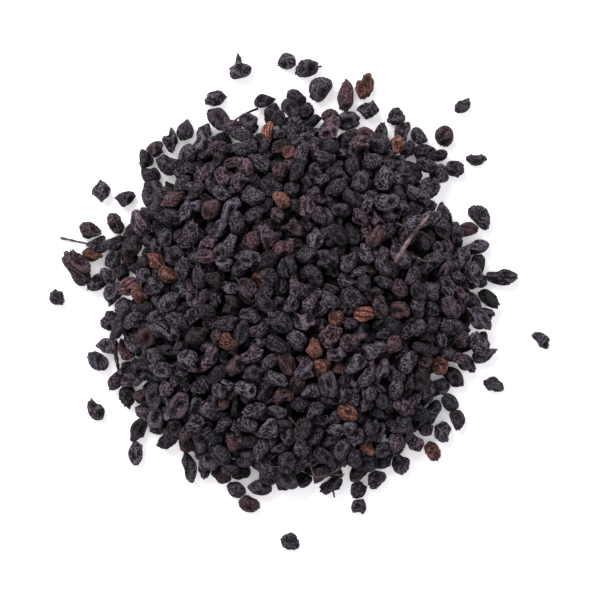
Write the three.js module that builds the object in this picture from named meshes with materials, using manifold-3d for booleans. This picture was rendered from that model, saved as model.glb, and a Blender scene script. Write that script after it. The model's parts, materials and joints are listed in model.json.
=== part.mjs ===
// A heap of dried elderberries poured out on a table: several hundred wrinkled berries in a low
// mound, a scatter of loose ones round it, and a few bits of stalk.
// Millimetres, +Z up. The table is the plane Z = 0, and the origin is on it under the heap's middle.
import * as THREE from "three";
import { mergeVertices } from "three/addons/utils/BufferGeometryUtils.js";
import Module from "manifold-3d";

const wasm = await Module();
wasm.setup();

// The heap
const HEAP_HEIGHT = 15.5; // its crest above the table
const EDGE_HEIGHT = 6.6; // two layers of berries, where the mound ends
const RIM_HEIGHT = 4.7; // the single layer round it
const MOUND = 0.955; // share of the outline's radius where the single layer begins
const STEEPNESS = 3; // of the mound's sides: 2 is a plain dome, and more has a flatter top
const OUTLINE = [
  38.5, 37, 34.5, 38.5, 40.5, 38, 40.5, 39, 39.5, 41, 37.5, 38, // radii from +X round to +Y and -X
  39, 39, 39.5, 40, 40, 39, 38.5, 38.5, 37.5, 37, 34.5, 38, // and on round to -Y and +X
];
const DROPS = 1500; // berries let fall; one that would stand above the heap's surface is left out
const SPOTS_EACH = 6;
const SUNK = 1.2; // how far the brown and red berries' crowns lie below the heap's surface
const CORE_DEPTH = 0.8; // how far the filled core lies below the berries that cover it
const CORE_SHARES = [0.92, 0.84, 0.74, 0.63, 0.51, 0.39, 0.26, 0.13]; // its rings, of the outline
const SHOW = 1; // the least that a berry's crown stands out of the core
const OPEN = 0.87; // share of the outline's radius past which every berry shows, down to the table
const PATCH = 2.2; // radius of the patch that the mean is taken over

// Berries that lie against the heap's edge, from the innermost out: x, y and mean radius
const RIM = [
  [-34.0, 13.2, 2.0], [-36.8, 11.3, 1.9], [-36.2, 15.0, 1.8], [-39.9, 10.9, 1.8], [-41.4, 13.1, 1.8],
  [-41.4, 8.9, 1.7], [-29.8, 16.8, 2.0], [-29.1, 21.3, 2.4], [-29.8, 25.2, 1.8], [-26.4, 27.0, 1.9],
  [-30.8, 28.2, 1.7], [-28.5, 30.2, 1.5], [-25.9, 31.8, 1.7], [-23.0, 33.8, 1.8], [-19.1, 33.2, 1.8],
  [-16.4, 36.2, 1.8], [-5.4, 37.0, 1.9], [-0.5, 40.4, 1.8], [9.5, 36.2, 1.9], [20.3, 33.4, 1.8],
  [23.5, 33.4, 1.8], [33.4, 14.0, 1.8], [34.8, 10.4, 1.9], [35.4, 7.2, 1.8], [37.6, 0.5, 1.9],
  [37.0, -2.9, 1.7], [36.4, -10.9, 1.7], [33.6, -12.8, 1.8], [30.8, -15.0, 1.8], [30.0, -20.5, 1.8],
  [22.8, -28.6, 1.9], [16.7, -31.8, 1.9], [11.6, -34.4, 1.8], [0.2, -36.0, 1.9], [-3.4, -36.6, 1.8],
  [-8.0, -37.8, 1.8], [-11.8, -34.2, 1.8], [-15.8, -34.9, 1.8], [-22.4, -33.4, 1.8], [-26.3, -28.6, 1.8],
  [-28.1, -25.6, 1.8], [-32.6, -26.4, 1.8], [-30.8, -22.6, 1.9], [-34.6, -19.5, 1.8], [-37.0, -16.0, 1.8],
  [-39.1, -8.9, 1.8], [-38.1, -4.6, 1.9], [-38.3, 2.4, 2.1], [-38.6, 5.9, 1.8],
];

// The berries
const SMALLEST = 1.5; // mean radius
const LARGEST = 2.3;
const LENGTH_SHARE = 1.16; // a heap berry's half length, width and height over its mean radius
const WIDTH_SHARE = 0.97;
const HEIGHT_SHARE = 0.9;
const JOIN = 1.16; // how much larger a heap berry's flat-faced solid is, so that it joins its neighbours
const TILT = 0.6; // most that a heap berry's length leans from level, in radians
const FOLD = 0.07; // depth of a loose berry's folds, and length of its point, over its half width
const POINT = 0.12;
const GAP = 0.3; // between solids that touch
const ROOM = 1.27; // a flat-faced hollow's size over that of the round form that has to fit in it

// How a falling berry looks for a lower place: steps round the compass, in ever shorter strides
const COMPASS = [
  [1, 0], [0.8, 0.6], [0.6, 0.8], [0, 1], [-0.6, 0.8], [-0.8, 0.6],
  [-1, 0], [-0.8, -0.6], [-0.6, -0.8], [0, -1], [0.6, -0.8], [0.8, -0.6],
];
const STRIDES = [0.8, 0.4, 0.2, 0.1, 0.05];
const STRIDES_EACH = 5;
const PRESS = 0.3; // how far each berry then presses into its nearest neighbour

// Loose berries on the table: x, y, length, width, heading of the length in degrees, and hue
const LOOSE = [
  [-12.1, 45.7, 4.4, 3.8, 20, "black"],
  [-2.5, 47.7, 3.7, 3.2, 10, "black"],
  [1.4, 46.3, 4.4, 3.5, 15, "black"],
  [3.9, 42.0, 5.1, 4.4, 40, "black"],
  [9.2, 40.7, 5.9, 3.5, 86, "red"],
  [12.9, 42.6, 5.0, 3.4, 80, "brown"],
  [13.6, 38.0, 4.1, 3.5, 35, "black"],
  [-17.0, 40.2, 4.2, 3.1, 22, "black"],
  [-7.2, 39.7, 4.0, 3.0, 15, "black"],
  [19.3, 36.4, 3.6, 3.4, 60, "black"],
  [28.8, 32.7, 3.8, 3.6, 80, "black"],
  [32.4, 38.7, 3.4, 2.8, 45, "black"],
  [35.2, 28.2, 3.8, 2.6, 0, "black"],
  [30.8, 26.2, 3.8, 3.4, -30, "black"],
  [35.7, 16.7, 5.0, 3.6, -50, "black"],
  [40.3, 4.6, 6.0, 3.2, -5, "black"],
  [48.2, -8.0, 3.9, 2.7, -38, "black"],
  [36.6, -8.2, 3.9, 2.7, 105, "red"],
  [38.6, -16.9, 3.7, 3.2, -10, "black"],
  [31.3, -23.7, 4.2, 3.2, 100, "black"],
  [26.4, -30.2, 4.0, 3.2, 120, "brown"],
  [19.9, -32.4, 4.0, 3.0, 112, "black"],
  [15.2, -35.9, 3.8, 3.2, 37, "black"],
  [11.6, -37.9, 3.6, 3.3, 70, "black"],
  [11.8, -41.2, 3.1, 2.9, 60, "black"],
  [6.3, -36.9, 4.6, 3.0, 20, "black"],
  [-2.0, -48.2, 3.7, 3.4, -30, "black"],
  [-10.3, -40.7, 4.2, 3.2, -20, "red"],
  [-12.7, -37.8, 3.9, 3.4, -35, "black"],
  [-32.8, -30.6, 4.4, 2.8, 92, "black"],
  [-40.8, -22.0, 4.2, 3.2, -57, "black"],
  [-40.3, -12.3, 4.2, 3.3, -35, "black"],
  [-48.4, 0.3, 3.2, 2.9, -50, "black"],
  [-44.0, 6.4, 6.6, 4.7, -58, "black"],
  [-34.9, 20.2, 3.9, 3.1, 8, "black"],
  [-39.7, 21.8, 4.1, 3.6, -70, "black"],
];

// Brown and red berries on top of the heap: x, y, length, width, heading and hue
const COLOURED = [
  [-6.3, 33.3, 3.6, 2.8, 80, "brown"],
  [19.1, 30.6, 3.8, 3.0, 60, "brown"],
  [6.0, 36.5, 3.4, 2.8, 0, "red"],
  [-4.0, 25.3, 3.6, 3.0, 90, "red"],
  [-17.5, 18.1, 4.4, 3.6, 70, "red"],
  [-28.4, 7.8, 4.2, 3.2, 140, "brown"],
  [-26.0, 5.0, 4.0, 3.2, 150, "brown"],
  [-33.8, 2.8, 4.4, 3.4, 30, "red"],
  [-9.4, 11.3, 4.6, 3.6, 60, "red"],
  [-3.2, 10.3, 4.2, 3.4, 20, "red"],
  [12.4, -2.7, 4.6, 3.4, 170, "brown"],
  [7.2, -3.3, 4.2, 3.0, 80, "brown"],
  [-14.0, -8.0, 4.2, 3.4, 0, "brown"],
  [2.9, -9.6, 4.2, 3.8, 120, "brown"],
  [18.3, -8.6, 4.0, 3.2, 60, "red"],
  [27.7, -13.0, 4.0, 3.2, 100, "brown"],
  [-3.4, -18.7, 4.4, 3.4, 40, "red"],
  [9.2, -22.0, 4.6, 3.6, 150, "brown"],
  [-13.0, -27.5, 4.6, 3.8, 60, "red"],
];

// Bits of stalk: points along each, and the radius at each point
const STALKS = {
  stalk_on_top: [[18.6, 7.4, 13.2, 0.46], [21.8, 12.4, 12, 0.36], [26.2, 17.6, 8.8, 0.28]],
  stalk_left: [[-40.4, 10.8, 1.2, 0.22], [-44.2, 11.6, 0.7, 0.2], [-47.9, 12.4, 0.35, 0.26]],
  stalk_lower_left: [[-36.2, -14.2, 0.8, 0.3], [-36.6, -11.8, 2, 0.4], [-36.9, -9.2, 3.9, 0.42]],
};
const STALK_SIDES = 8;

const HUES = { black: 0x3a3439, red: 0x5b3a38, brown: 0x85523a, stalk: 0x6b5550 };

// Numbers from 0 to 1 that are the same on every run.
function generator(seed) {
  let state = seed;
  return () => {
    state = (state * 1664525 + 1013904223) % 4294967296;
    return state / 4294967296;
  };
}

// The outline's radius in the direction of a point.
function outlineRadius(x, y) {
  const turn = (Math.atan2(y, x) / (2 * Math.PI) + 1) * OUTLINE.length;
  const before = Math.floor(turn);
  const share = turn - before;
  return OUTLINE[before % OUTLINE.length] * (1 - share) + OUTLINE[(before + 1) % OUTLINE.length] * share;
}

// How far out a point is, from 0 at the heap's middle to 1 on its outline.
function shareOut(x, y) {
  return Math.sqrt(x * x + y * y) / outlineRadius(x, y);
}

// How high the heap may stand at a point, or 0 outside its outline.
function surfaceHeight(x, y) {
  const out = shareOut(x, y);
  if (out > 1) return 0;
  if (out > MOUND) return RIM_HEIGHT;
  return EDGE_HEIGHT + (HEAP_HEIGHT - EDGE_HEIGHT) * (1 - (out / MOUND) ** STEEPNESS);
}

// The height at which a ball of radius r, coming down at (x, y), meets the table or another ball.
function restingHeight(placed, x, y, r) {
  let height = r;
  for (const ball of placed) {
    const reach = r + ball.r;
    const dx = x - ball.x;
    const dy = y - ball.y;
    const left = reach * reach - dx * dx - dy * dy;
    if (left > 0) height = Math.max(height, ball.z + Math.sqrt(left));
  }
  return height;
}

// Lets a ball fall at (x, y) and roll downhill until it is held or has no strides left.
function settle(placed, x, y, r) {
  let here = { x, y, z: restingHeight(placed, x, y, r), r };
  for (const stride of STRIDES) {
    for (let n = 0; n < STRIDES_EACH; n++) {
      let lowest = here;
      for (const [dx, dy] of COMPASS) {
        const there = { x: here.x + dx * stride, y: here.y + dy * stride, r };
        there.z = restingHeight(placed, there.x, there.y, r);
        if (there.z < lowest.z) lowest = there;
      }
      if (lowest === here) break;
      here = lowest;
    }
  }
  return here;
}

// How far two balls are from touching, less than nothing where they overlap.
function gapBetween(ball, other) {
  const dx = ball.x - other.x;
  const dy = ball.y - other.y;
  const dz = ball.z - other.z;
  return Math.sqrt(dx * dx + dy * dy + dz * dz) - ball.r - other.r;
}

// The ball moved straight towards another until it presses a little into it.
function pressed(ball, other) {
  const share = (gapBetween(ball, other) + PRESS) / (gapBetween(ball, other) + ball.r + other.r);
  return {
    x: ball.x + (other.x - ball.x) * share,
    y: ball.y + (other.y - ball.y) * share,
    z: ball.z + (other.z - ball.z) * share,
    r: ball.r,
  };
}

// Gathers balls into one touching group, nearest first, from the last one outwards.
function gathered(balls) {
  const group = [balls.at(-1)];
  let waiting = balls.slice(0, -1).map((ball) => ({ ball, gap: Infinity }));
  while (waiting.length) {
    const newest = group.at(-1);
    for (const one of waiting) {
      const gap = gapBetween(one.ball, newest);
      if (gap < one.gap) Object.assign(one, { gap, mate: newest });
    }
    const next = waiting.reduce((nearest, one) => (one.gap < nearest.gap ? one : nearest));
    group.push(pressed(next.ball, next.mate));
    waiting = waiting.filter((one) => one !== next);
  }
  return group;
}

// The mean radius of a berry that is as high as it is wide.
function meanRadius(length, width) {
  return (length + 2 * width) / 6;
}

// The balls that the heap's berries fill: those of its rim, and those poured round the ones on top.
function pour(onTop, random) {
  const rim = RIM.map(([x, y, r]) => ({ x, y, z: r, r }));
  const placed = [...onTop, ...rim];
  const widest = Math.max(...OUTLINE);
  for (let n = 0; n < DROPS; n++) {
    const r = SMALLEST + (LARGEST - SMALLEST) * 0.5 * (random() + random());
    let spot = { x: 0, y: 0, room: 0 };
    for (let k = 0; k < SPOTS_EACH; k++) {
      const x = (2 * random() - 1) * widest;
      const y = (2 * random() - 1) * widest;
      const room = surfaceHeight(x, y) - restingHeight(placed, x, y, r);
      if (room > spot.room) spot = { x, y, room };
    }
    const ball = settle(placed, spot.x, spot.y, r);
    if (ball.z + r <= surfaceHeight(ball.x, ball.y)) placed.push(ball);
  }
  return placed.slice(onTop.length);
}

// A manifold-3d solid of a geometry, for joining and cutting.
function solidOf(geometry) {
  const bare = geometry.clone();
  bare.deleteAttribute("normal");
  bare.deleteAttribute("uv");
  const merged = mergeVertices(bare);
  const vertProperties = merged.attributes.position.array;
  const triVerts = new Uint32Array(merged.index.array);
  return new wasm.Manifold(new wasm.Mesh({ numProp: 3, vertProperties, triVerts }));
}

// A geometry of a manifold-3d solid.
function geometryOf(solid) {
  const { vertProperties, triVerts } = solid.getMesh();
  const geometry = new THREE.BufferGeometry();
  geometry.setAttribute("position", new THREE.BufferAttribute(vertProperties, 3));
  return geometry.setIndex(new THREE.BufferAttribute(triVerts, 1)).toNonIndexed();
}

// A closed surface through rings of points, each ring with the same count, and a point at either end.
function ringedGeometry(first, rings, last) {
  const points = [first, ...rings.flat(), last];
  const count = rings[0].length;
  const index = [];
  for (let i = 0; i < count; i++) {
    const next = (i + 1) % count;
    index.push(0, 1 + next, 1 + i);
    for (let k = 0; k + 1 < rings.length; k++) {
      const low = 1 + k * count;
      const high = low + count;
      index.push(low + i, low + next, high + next, low + i, high + next, high + i);
    }
    const top = 1 + (rings.length - 1) * count;
    index.push(top + i, top + next, points.length - 1);
  }
  return new THREE.BufferGeometry().setFromPoints(points).setIndex(index);
}

// The height of the core at a point: a little under where small berries would lie on the balls round it.
function coreHeight(balls, x, y) {
  const spots = [[0, 0], ...COMPASS];
  const total = spots.reduce((sum, [dx, dy]) => {
    return sum + restingHeight(balls, x + PATCH * dx, y + PATCH * dy, SMALLEST) - SMALLEST;
  }, 0);
  return total / spots.length - CORE_DEPTH;
}

// The middle of the heap, under its skin of separate berries, with a flat base on the table.
function coreGeometry(balls) {
  const top = (point) => point.setZ(coreHeight(balls, point.x, point.y));
  const ring = (share) =>
    OUTLINE.map((radius, k) => {
      const turn = (2 * Math.PI * k) / OUTLINE.length;
      return new THREE.Vector3(Math.cos(turn), Math.sin(turn), 0).multiplyScalar(radius * share);
    });
  const rings = CORE_SHARES.map((share) => ring(share).map(top));
  return ringedGeometry(new THREE.Vector3(), [ring(CORE_SHARES[0]), ...rings], top(new THREE.Vector3()));
}

// A berry with a blunt point at +X, where its stalk was, and shallow folds along its sides.
function berryGeometry(length, width, fold) {
  const geometry = new THREE.IcosahedronGeometry(1, 1);
  const { position } = geometry.attributes;
  const point = new THREE.Vector3();
  for (let i = 0; i < position.count; i++) {
    point.fromBufferAttribute(position, i).normalize();
    const side = 1 - point.x * point.x;
    const round = Math.atan2(point.z, point.y);
    point.multiplyScalar(1 + FOLD * side * Math.cos(3 * round + fold) + POINT * Math.max(0, point.x) ** 6);
    position.setXYZ(i, point.x, point.y, point.z);
  }
  return geometry.scale(length / 2, width / 2, width / 2);
}

// One of the many berries on the heap's surface, as a rough ellipsoid turned any way.
function heapBerry(ball, random) {
  const geometry = new THREE.IcosahedronGeometry(ball.r * JOIN, 0);
  geometry.scale(LENGTH_SHARE, WIDTH_SHARE, HEIGHT_SHARE);
  geometry.rotateX(2 * Math.PI * random());
  geometry.rotateY(TILT * (2 * random() - 1));
  geometry.rotateZ(2 * Math.PI * random());
  return geometry.translate(ball.x, ball.y, ball.z);
}

// A bit of stalk through [x, y, z, radius] points, with a rounded end.
function stalkGeometry(stops, swell) {
  const points = stops.map(([x, y, z]) => new THREE.Vector3(x, y, z));
  const level = new THREE.Vector3().subVectors(points.at(-1), points[0]).normalize();
  const side = new THREE.Vector3(-level.y, level.x, 0).normalize();
  const up = new THREE.Vector3().crossVectors(level, side);
  const rings = stops.map(([, , , radius], k) =>
    Array.from({ length: STALK_SIDES }, (_, n) => {
      const turn = (2 * Math.PI * n) / STALK_SIDES;
      return points[k]
        .clone()
        .addScaledVector(side, (radius + swell) * Math.cos(turn))
        .addScaledVector(up, (radius + swell) * Math.sin(turn));
    }),
  );
  const tip = (k, way) => points[k].clone().addScaledVector(level, way * (stops[k][3] / 2 + swell));
  return ringedGeometry(tip(0, -1), rings, tip(stops.length - 1, 1));
}

// A geometry turned to a berry's heading, where the berry's ball is.
function placed(geometry, { ball, heading }) {
  return geometry.rotateZ((heading * Math.PI) / 180).translate(ball.x, ball.y, ball.z);
}

// The hollow in the heap that a berry with a solid of its own lies in.
function clearing(berry) {
  const [halfLength, halfWidth] = [berry.length / 2 + GAP, berry.width / 2 + GAP];
  const geometry = new THREE.IcosahedronGeometry(ROOM, 0).scale(halfLength, halfWidth, halfWidth);
  return placed(geometry, berry);
}

// A berry of the LOOSE or COLOURED list whose crown is at the given height, or that lies on the table.
function listedBerry([x, y, length, width, heading, hue], crown) {
  const r = meanRadius(length, width);
  return { ball: { x, y, z: Math.max(width / 2, crown - r), r }, length, width, heading, hue };
}

const loose = LOOSE.map((entry) => listedBerry(entry, 0));
const onTop = COLOURED.map((entry) => listedBerry(entry, surfaceHeight(entry[0], entry[1]) - SUNK));

const random = generator(42);
const poured = pour(onTop.map(({ ball }) => ball), random);
const isClear = (ball) => loose.every((berry) => gapBetween(ball, berry.ball) > 0);
const balls = gathered(poured.filter(isClear));

const isShown = ({ ball: { x, y, z, r } }) =>
  shareOut(x, y) > OPEN || z + r > coreHeight(balls, x, y) + SHOW;
const skin = balls
  .map((ball) => ({ ball, geometry: heapBerry(ball, random) }))
  .filter(isShown)
  .map(({ geometry }) => geometry);
const joined = [coreGeometry(balls), ...skin];
const cleared = [
  ...[...loose, ...onTop].map(clearing),
  ...Object.values(STALKS).map((stops) => stalkGeometry(stops, GAP)),
];
const heap = wasm.Manifold.union(joined.map(solidOf))
  .subtract(wasm.Manifold.union(cleared.map(solidOf)))
  .trimByPlane([0, 0, 1], 0)
  .decompose()
  .sort((a, b) => b.volume() - a.volume())[0];

const cluster = new THREE.Group();

function add(name, geometry, hue) {
  const material = new THREE.MeshStandardMaterial({ color: HUES[hue], roughness: 0.75, metalness: 0 });
  const mesh = new THREE.Mesh(geometry, material);
  mesh.name = name;
  cluster.add(mesh);
}

add("heap", geometryOf(heap), "black");
const addBerries = (prefix, berries) =>
  berries.forEach((berry, k) => {
    add(`${prefix}_${k + 1}`, placed(berryGeometry(berry.length, berry.width, k), berry), berry.hue);
  });
addBerries("loose_berry", loose);
addBerries("top_berry", onTop);
for (const [name, stops] of Object.entries(STALKS)) add(name, stalkGeometry(stops, 0), "stalk");

export default cluster;
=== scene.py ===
"""The looks of a heap of dried elderberries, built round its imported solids.

The heap's own berries are one joined solid, while the loose berries, the coloured ones on top and the
bits of stalk are solids of their own. Here every berry is a shrivelled mesh: the heap is poured again by
the rules of its solid, so each berry lies where the solid has it. Berries and stalks are worked out in
millimetres, and their finished meshes are in metres.
"""

import bpy
import functools
import itertools
import json
import math
import numpy as np
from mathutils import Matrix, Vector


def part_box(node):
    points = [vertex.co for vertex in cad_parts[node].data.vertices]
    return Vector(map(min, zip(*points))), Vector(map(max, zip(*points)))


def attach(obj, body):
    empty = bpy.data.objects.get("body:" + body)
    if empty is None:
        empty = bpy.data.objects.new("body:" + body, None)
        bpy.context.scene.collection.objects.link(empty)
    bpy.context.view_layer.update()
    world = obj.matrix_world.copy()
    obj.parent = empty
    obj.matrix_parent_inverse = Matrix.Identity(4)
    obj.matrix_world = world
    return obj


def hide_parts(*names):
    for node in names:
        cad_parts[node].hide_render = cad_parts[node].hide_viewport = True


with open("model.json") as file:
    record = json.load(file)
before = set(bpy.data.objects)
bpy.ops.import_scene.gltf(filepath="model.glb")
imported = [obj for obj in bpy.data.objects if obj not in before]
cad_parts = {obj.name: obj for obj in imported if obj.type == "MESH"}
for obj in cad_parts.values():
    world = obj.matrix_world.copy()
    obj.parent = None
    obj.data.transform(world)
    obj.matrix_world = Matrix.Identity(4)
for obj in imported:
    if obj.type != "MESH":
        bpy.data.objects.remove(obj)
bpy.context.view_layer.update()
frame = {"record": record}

MM = 0.001

# The heap, as its solid is poured
HEAP_HEIGHT = 15.5
EDGE_HEIGHT = 6.6
RIM_HEIGHT = 4.7
MOUND = 0.955  # of the outline, inside which the heap rises from its edge's height
STEEPNESS = 3
OUTLINE = [  # radii at even turns from +x
    38.5, 37, 34.5, 38.5, 40.5, 38, 40.5, 39, 39.5, 41, 37.5, 38,
    39, 39, 39.5, 40, 40, 39, 38.5, 38.5, 37.5, 37, 34.5, 38,
]
DROPS = 1500
SPOTS_EACH = 6
SUNK = 1.2  # how far the coloured berries' crowns are under the heap's surface
SMALLEST = 1.5
LARGEST = 2.3
SHARES = (1.16, 0.97, 0.9)  # a heap berry's half length, width and height over its mean radius
SHRUNK = 0.94  # a berry's size over its ball's, since its skin has shrunk away from its neighbours
TILT = 0.6
COMPASS = np.array([
    [1, 0], [0.8, 0.6], [0.6, 0.8], [0, 1], [-0.6, 0.8], [-0.8, 0.6],
    [-1, 0], [-0.8, -0.6], [-0.6, -0.8], [0, -1], [0.6, -0.8], [0.8, -0.6],
])
STRIDES = [0.8, 0.4, 0.2, 0.1, 0.05]
STRIDES_EACH = 5
PRESS = 0.3
POUR_SEED = 42
FILLING_TRIES = 12000
FILLING_LEAST = 1.25
FILLING_PRESS = 0.35
FILLING_SHARE = 0.84  # of the outline, inside which hollows are filled
FILLING_DEPTH = 2.6  # how far the filling stays under the heap's surface, for deep gaps between berries
OPAQUE = 0.78  # share of a ball's radius that its berry hides for certain
PLUG = 1.4  # the least radius of a ball that hides the table
PLUG_STEP = 0.25  # between the heights that are tried for one
PITCH = 0.4  # of the grid that shows what lies on top
TUCKED = 0.6  # how far a poured berry may go under a loose one and still be laid beside it

# Berries against the heap's edge: x, y and mean radius
RIM = [
    [-34.0, 13.2, 2.0], [-36.8, 11.3, 1.9], [-36.2, 15.0, 1.8], [-39.9, 10.9, 1.8], [-41.4, 13.1, 1.8],
    [-41.4, 8.9, 1.7], [-29.8, 16.8, 2.0], [-29.1, 21.3, 2.4], [-29.8, 25.2, 1.8], [-26.4, 27.0, 1.9],
    [-30.8, 28.2, 1.7], [-28.5, 30.2, 1.5], [-25.9, 31.8, 1.7], [-23.0, 33.8, 1.8], [-19.1, 33.2, 1.8],
    [-16.4, 36.2, 1.8], [-5.4, 37.0, 1.9], [-0.5, 40.4, 1.8], [9.5, 36.2, 1.9], [20.3, 33.4, 1.8],
    [23.5, 33.4, 1.8], [33.4, 14.0, 1.8], [34.8, 10.4, 1.9], [35.4, 7.2, 1.8], [37.6, 0.5, 1.9],
    [37.0, -2.9, 1.7], [36.4, -10.9, 1.7], [33.6, -12.8, 1.8], [30.8, -15.0, 1.8], [30.0, -20.5, 1.8],
    [22.8, -28.6, 1.9], [16.7, -31.8, 1.9], [11.6, -34.4, 1.8], [0.2, -36.0, 1.9], [-3.4, -36.6, 1.8],
    [-8.0, -37.8, 1.8], [-11.8, -34.2, 1.8], [-15.8, -34.9, 1.8], [-22.4, -33.4, 1.8], [-26.3, -28.6, 1.8],
    [-28.1, -25.6, 1.8], [-32.6, -26.4, 1.8], [-30.8, -22.6, 1.9], [-34.6, -19.5, 1.8], [-37.0, -16.0, 1.8],
    [-39.1, -8.9, 1.8], [-38.1, -4.6, 1.9], [-38.3, 2.4, 2.1], [-38.6, 5.9, 1.8],
]

# More berries at the foot of the heap, in gaps that its solid leaves: x, y and mean radius
GAPS = [
    [-37.2, 8.0, 1.9], [28.3, -26.2, 1.8], [24.8, -25.4, 1.7], [21.5, 30.0, 1.6], [28.0, 29.0, 1.4],
    [-41.2, 9.0, 1.6], [26.7, 14.8, 1.5],
    [-35.5, 5.6, 1.6], [-40.4, 3.5, 1.6], [-34.4, -13.3, 1.4], [1.3, 37.4, 1.6],
]

# Where the table shows between berries at the foot of the heap: x, y and reach
EMPTY = [
    [28.1, 19.6, 1.0], [34.1, -5.7, 1.0], [-25.2, 24.0, 1.8], [-22.5, 30.7, 1.0], [-18.2, 27.0, 0.6],
]

# Loose berries on the table: x, y, length, width, and heading of the length in degrees
LOOSE = [
    [-12.1, 45.7, 4.4, 3.8, 20], [-2.5, 47.7, 3.7, 3.2, 10], [1.4, 46.3, 4.4, 3.5, 15],
    [3.9, 42.0, 5.1, 4.4, 40], [9.2, 40.7, 5.9, 3.5, 86], [12.9, 42.6, 5.0, 3.4, 80],
    [13.6, 38.0, 4.1, 3.5, 35], [-17.0, 40.2, 4.2, 3.1, 22], [-7.2, 39.7, 4.0, 3.0, 15],
    [19.3, 36.4, 3.6, 3.4, 60], [28.8, 32.7, 3.8, 3.6, 80], [32.4, 38.7, 3.4, 2.8, 45],
    [35.2, 28.2, 3.8, 2.6, 0], [30.8, 26.2, 3.8, 3.4, -30], [35.7, 16.7, 5.0, 3.6, -50],
    [40.3, 4.6, 6.0, 3.2, -5], [48.2, -8.0, 3.9, 2.7, -38], [36.6, -8.2, 3.9, 2.7, 105],
    [38.6, -16.9, 3.7, 3.2, -10], [31.3, -23.7, 4.2, 3.2, 100], [26.4, -30.2, 4.0, 3.2, 120],
    [19.9, -32.4, 4.0, 3.0, 112], [15.2, -35.9, 3.8, 3.2, 37], [11.6, -37.9, 3.6, 3.3, 70],
    [11.8, -41.2, 3.1, 2.9, 60], [6.3, -36.9, 4.6, 3.0, 20], [-2.0, -48.2, 3.7, 3.4, -30],
    [-10.3, -40.7, 4.2, 3.2, -20], [-12.7, -37.8, 3.9, 3.4, -35], [-32.8, -30.6, 4.4, 2.8, 92],
    [-40.8, -22.0, 4.2, 3.2, -57], [-40.3, -12.3, 4.2, 3.3, -35], [-48.4, 0.3, 3.2, 2.9, -50],
    [-44.0, 6.4, 6.6, 4.7, -58], [-34.9, 20.2, 3.9, 3.1, 8], [-39.7, 21.8, 4.1, 3.6, -70],
]

# Brown and red berries on top of the heap: x, y, length, width and heading
COLOURED = [
    [-6.3, 33.3, 3.6, 2.8, 80], [19.1, 30.6, 3.8, 3.0, 60], [6.0, 36.5, 3.4, 2.8, 0],
    [-4.0, 25.3, 3.6, 3.0, 90], [-17.5, 18.1, 4.4, 3.6, 70], [-28.4, 7.8, 4.2, 3.2, 140],
    [-26.0, 5.0, 4.0, 3.2, 150], [-33.8, 2.8, 4.4, 3.4, 30], [-9.4, 11.3, 4.6, 3.6, 60],
    [-3.2, 10.3, 4.2, 3.4, 20], [12.4, -2.7, 4.6, 3.4, 170], [7.2, -3.3, 4.2, 3.0, 80],
    [-14.0, -8.0, 4.2, 3.4, 0], [2.9, -9.6, 4.2, 3.8, 120], [18.3, -8.6, 4.0, 3.2, 60],
    [27.7, -13.0, 4.0, 3.2, 100], [-3.4, -18.7, 4.4, 3.4, 40], [9.2, -22.0, 4.6, 3.6, 150],
    [-13.0, -27.5, 4.6, 3.8, 60],
]

# Where the heap's own berries are brown or red: x and y of a spot, whose nearest berry takes the hue
ACCENTS = {
    "brown": [
        [2.9, -12.0], [13.8, -29.3], [-7.3, 5.2], [-3.4, 18.1], [-2.4, 29.2], [-41.6, 8.9],
        [-31.4, 0.3],
    ],
    "red": [
        [-34.4, 8.3], [-16.4, 10.1], [16.7, 11.8], [12.2, 7.1], [26.7, -0.5], [34.4, 12.6],
        [19.9, -2.7], [-19.5, -13.0], [-14.2, -19.9], [-22.0, -29.3], [-15.6, -34.6], [7.7, -14.0],
        [-2.0, -12.2], [14.2, 31.6], [-25.0, 20.1], [-28.9, -6.9], [-30.2, -19.1], [-35.1, -8.3],
    ],
}

# Points, lobes and shreds of loose berries, by number: azimuth, reach in millimetres and width in radians
POINTS = {
    1: [[98, 1.7, 0.5], [82, 1.0, 0.5], [165, 0.3, 0.4]],
    2: [[205, 0.5, 0.2], [25, 0.3, 0.35]],
    3: [[88, 0.6, 0.2], [-38, 0.3, 0.25]],
    5: [[92, 0.5, 0.2], [118, 0.3, 0.2], [268, 0.4, 0.12]],
    6: [[98, 0.7, 0.5]],
    7: [[68, 0.4, 0.35], [-4, 0.3, 0.3], [-95, 0.3, 0.35], [186, 0.3, 0.3], [-38, 0.2, 0.2]],
    9: [[8, 0.3, 0.3]],
    11: [[258, 0.5, 0.2], [272, 0.6, 0.18], [286, 0.5, 0.2]],
    12: [[50, 0.4, 0.25], [218, 0.3, 0.3]],
    13: [[140, 0.6, 0.35], [42, 0.5, 0.3], [-8, 0.35, 0.25]],
    14: [[-70, 0.4, 0.3], [20, 0.3, 0.25]],
    17: [[-32, 0.4, 0.2], [-50, 0.4, 0.2]],
    33: [[100, 0.5, 0.22], [132, 0.4, 0.22]],
    34: [[-62, 0.3, 0.3], [-40, 0.3, 0.3], [150, 0.4, 0.5]],
    35: [[178, 0.4, 0.4], [28, 0.4, 0.4], [-92, 0.3, 0.4]],
    36: [[96, 0.5, 0.5], [-85, 0.4, 0.35], [200, 0.3, 0.5], [10, 0.2, 0.5]],
}

# Sides of loose berries that have sunk flat: azimuth, and how far out they lie
FLATS = {
    1: [[282, 1.5], [130, 1.6]],
    4: [[-35, 1.9]],
    7: [[35, 1.85], [-50, 1.8], [132, 1.75], [222, 1.7]],
    9: [[70, 1.3], [-60, 1.4]],
    13: [[92, 0.7]],
    35: [[105, 1.4], [-35, 1.5], [-145, 1.5]],
    36: [[130, 1.5], [225, 1.6]],
}

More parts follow.
